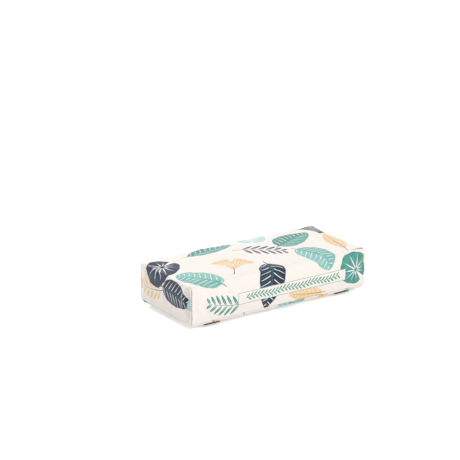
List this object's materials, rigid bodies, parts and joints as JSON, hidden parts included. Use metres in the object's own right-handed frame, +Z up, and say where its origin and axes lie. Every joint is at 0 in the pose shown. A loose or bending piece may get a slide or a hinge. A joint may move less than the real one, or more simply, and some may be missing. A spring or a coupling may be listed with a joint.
{
  "type": "bicycle rear rack seat cushion",
  "caption": "Long, flat foam seat cushion in a zipped, leaf printed fabric cover, with hook-and-loop straps sewn across its base to hold it on a bicycle's rear rack.",
  "frame": {"origin": "middle of the cushion's footprint, on the surface that it lies on with its straps closed and folded flat beneath it", "axes": "+X along the cushion to the rear of the bicycle, -Y to the left side of the bicycle, +Z up"},
  "size_m": [0.3535, 0.157, 0.0793],
  "materials": {
    "printed_fabric": "coated canvas, satin, cream ground with a navy, teal, mint and ochre leaf print",
    "upholstery_foam": "open-cell polyurethane foam",
    "webbing": "woven polypropylene webbing",
    "hook_tape": "hook side of hook-and-loop tape",
    "loop_tape": "napped loop side of hook-and-loop tape",
    "zip_tape": "twilled polyester tape",
    "zip_teeth": "moulded acetal, satin",
    "nickel_plate": "nickel plated zinc casting"
  },
  "bodies": {
    "cushion": {"printed_cover": "printed_fabric", "base_panel": "printed_fabric", "foam_core": "upholstery_foam", "front_strap": "webbing", "front_hook_tape": "hook_tape", "front_loop_tape": "loop_tape", "rear_strap": "webbing", "rear_hook_tape": "hook_tape", "rear_loop_tape": "loop_tape", "zip_tape_upper": "zip_tape", "zip_tape_lower": "zip_tape", "zip_teeth_upper": "zip_teeth", "zip_teeth_lower": "zip_teeth", "zip_top_stop_upper": "nickel_plate", "zip_top_stop_lower": "nickel_plate", "zip_bottom_stop": "nickel_plate"},
    "slider": {"zip_slider": "nickel_plate"},
    "pull": {"zip_pull": "nickel_plate"}
  },
  "joints": [
    {"name": "slider_travel", "type": "slide", "parent": "cushion", "child": "slider", "axis": [0, 1, 0], "range_m": [-0.1126, 0]},
    {"name": "pull_swing", "type": "hinge", "parent": "slider", "child": "pull", "pos_m": [0.17625, 0.0563, 0.0414], "axis": [0, 0, 1], "range_deg": [0, 180]}
  ]
}
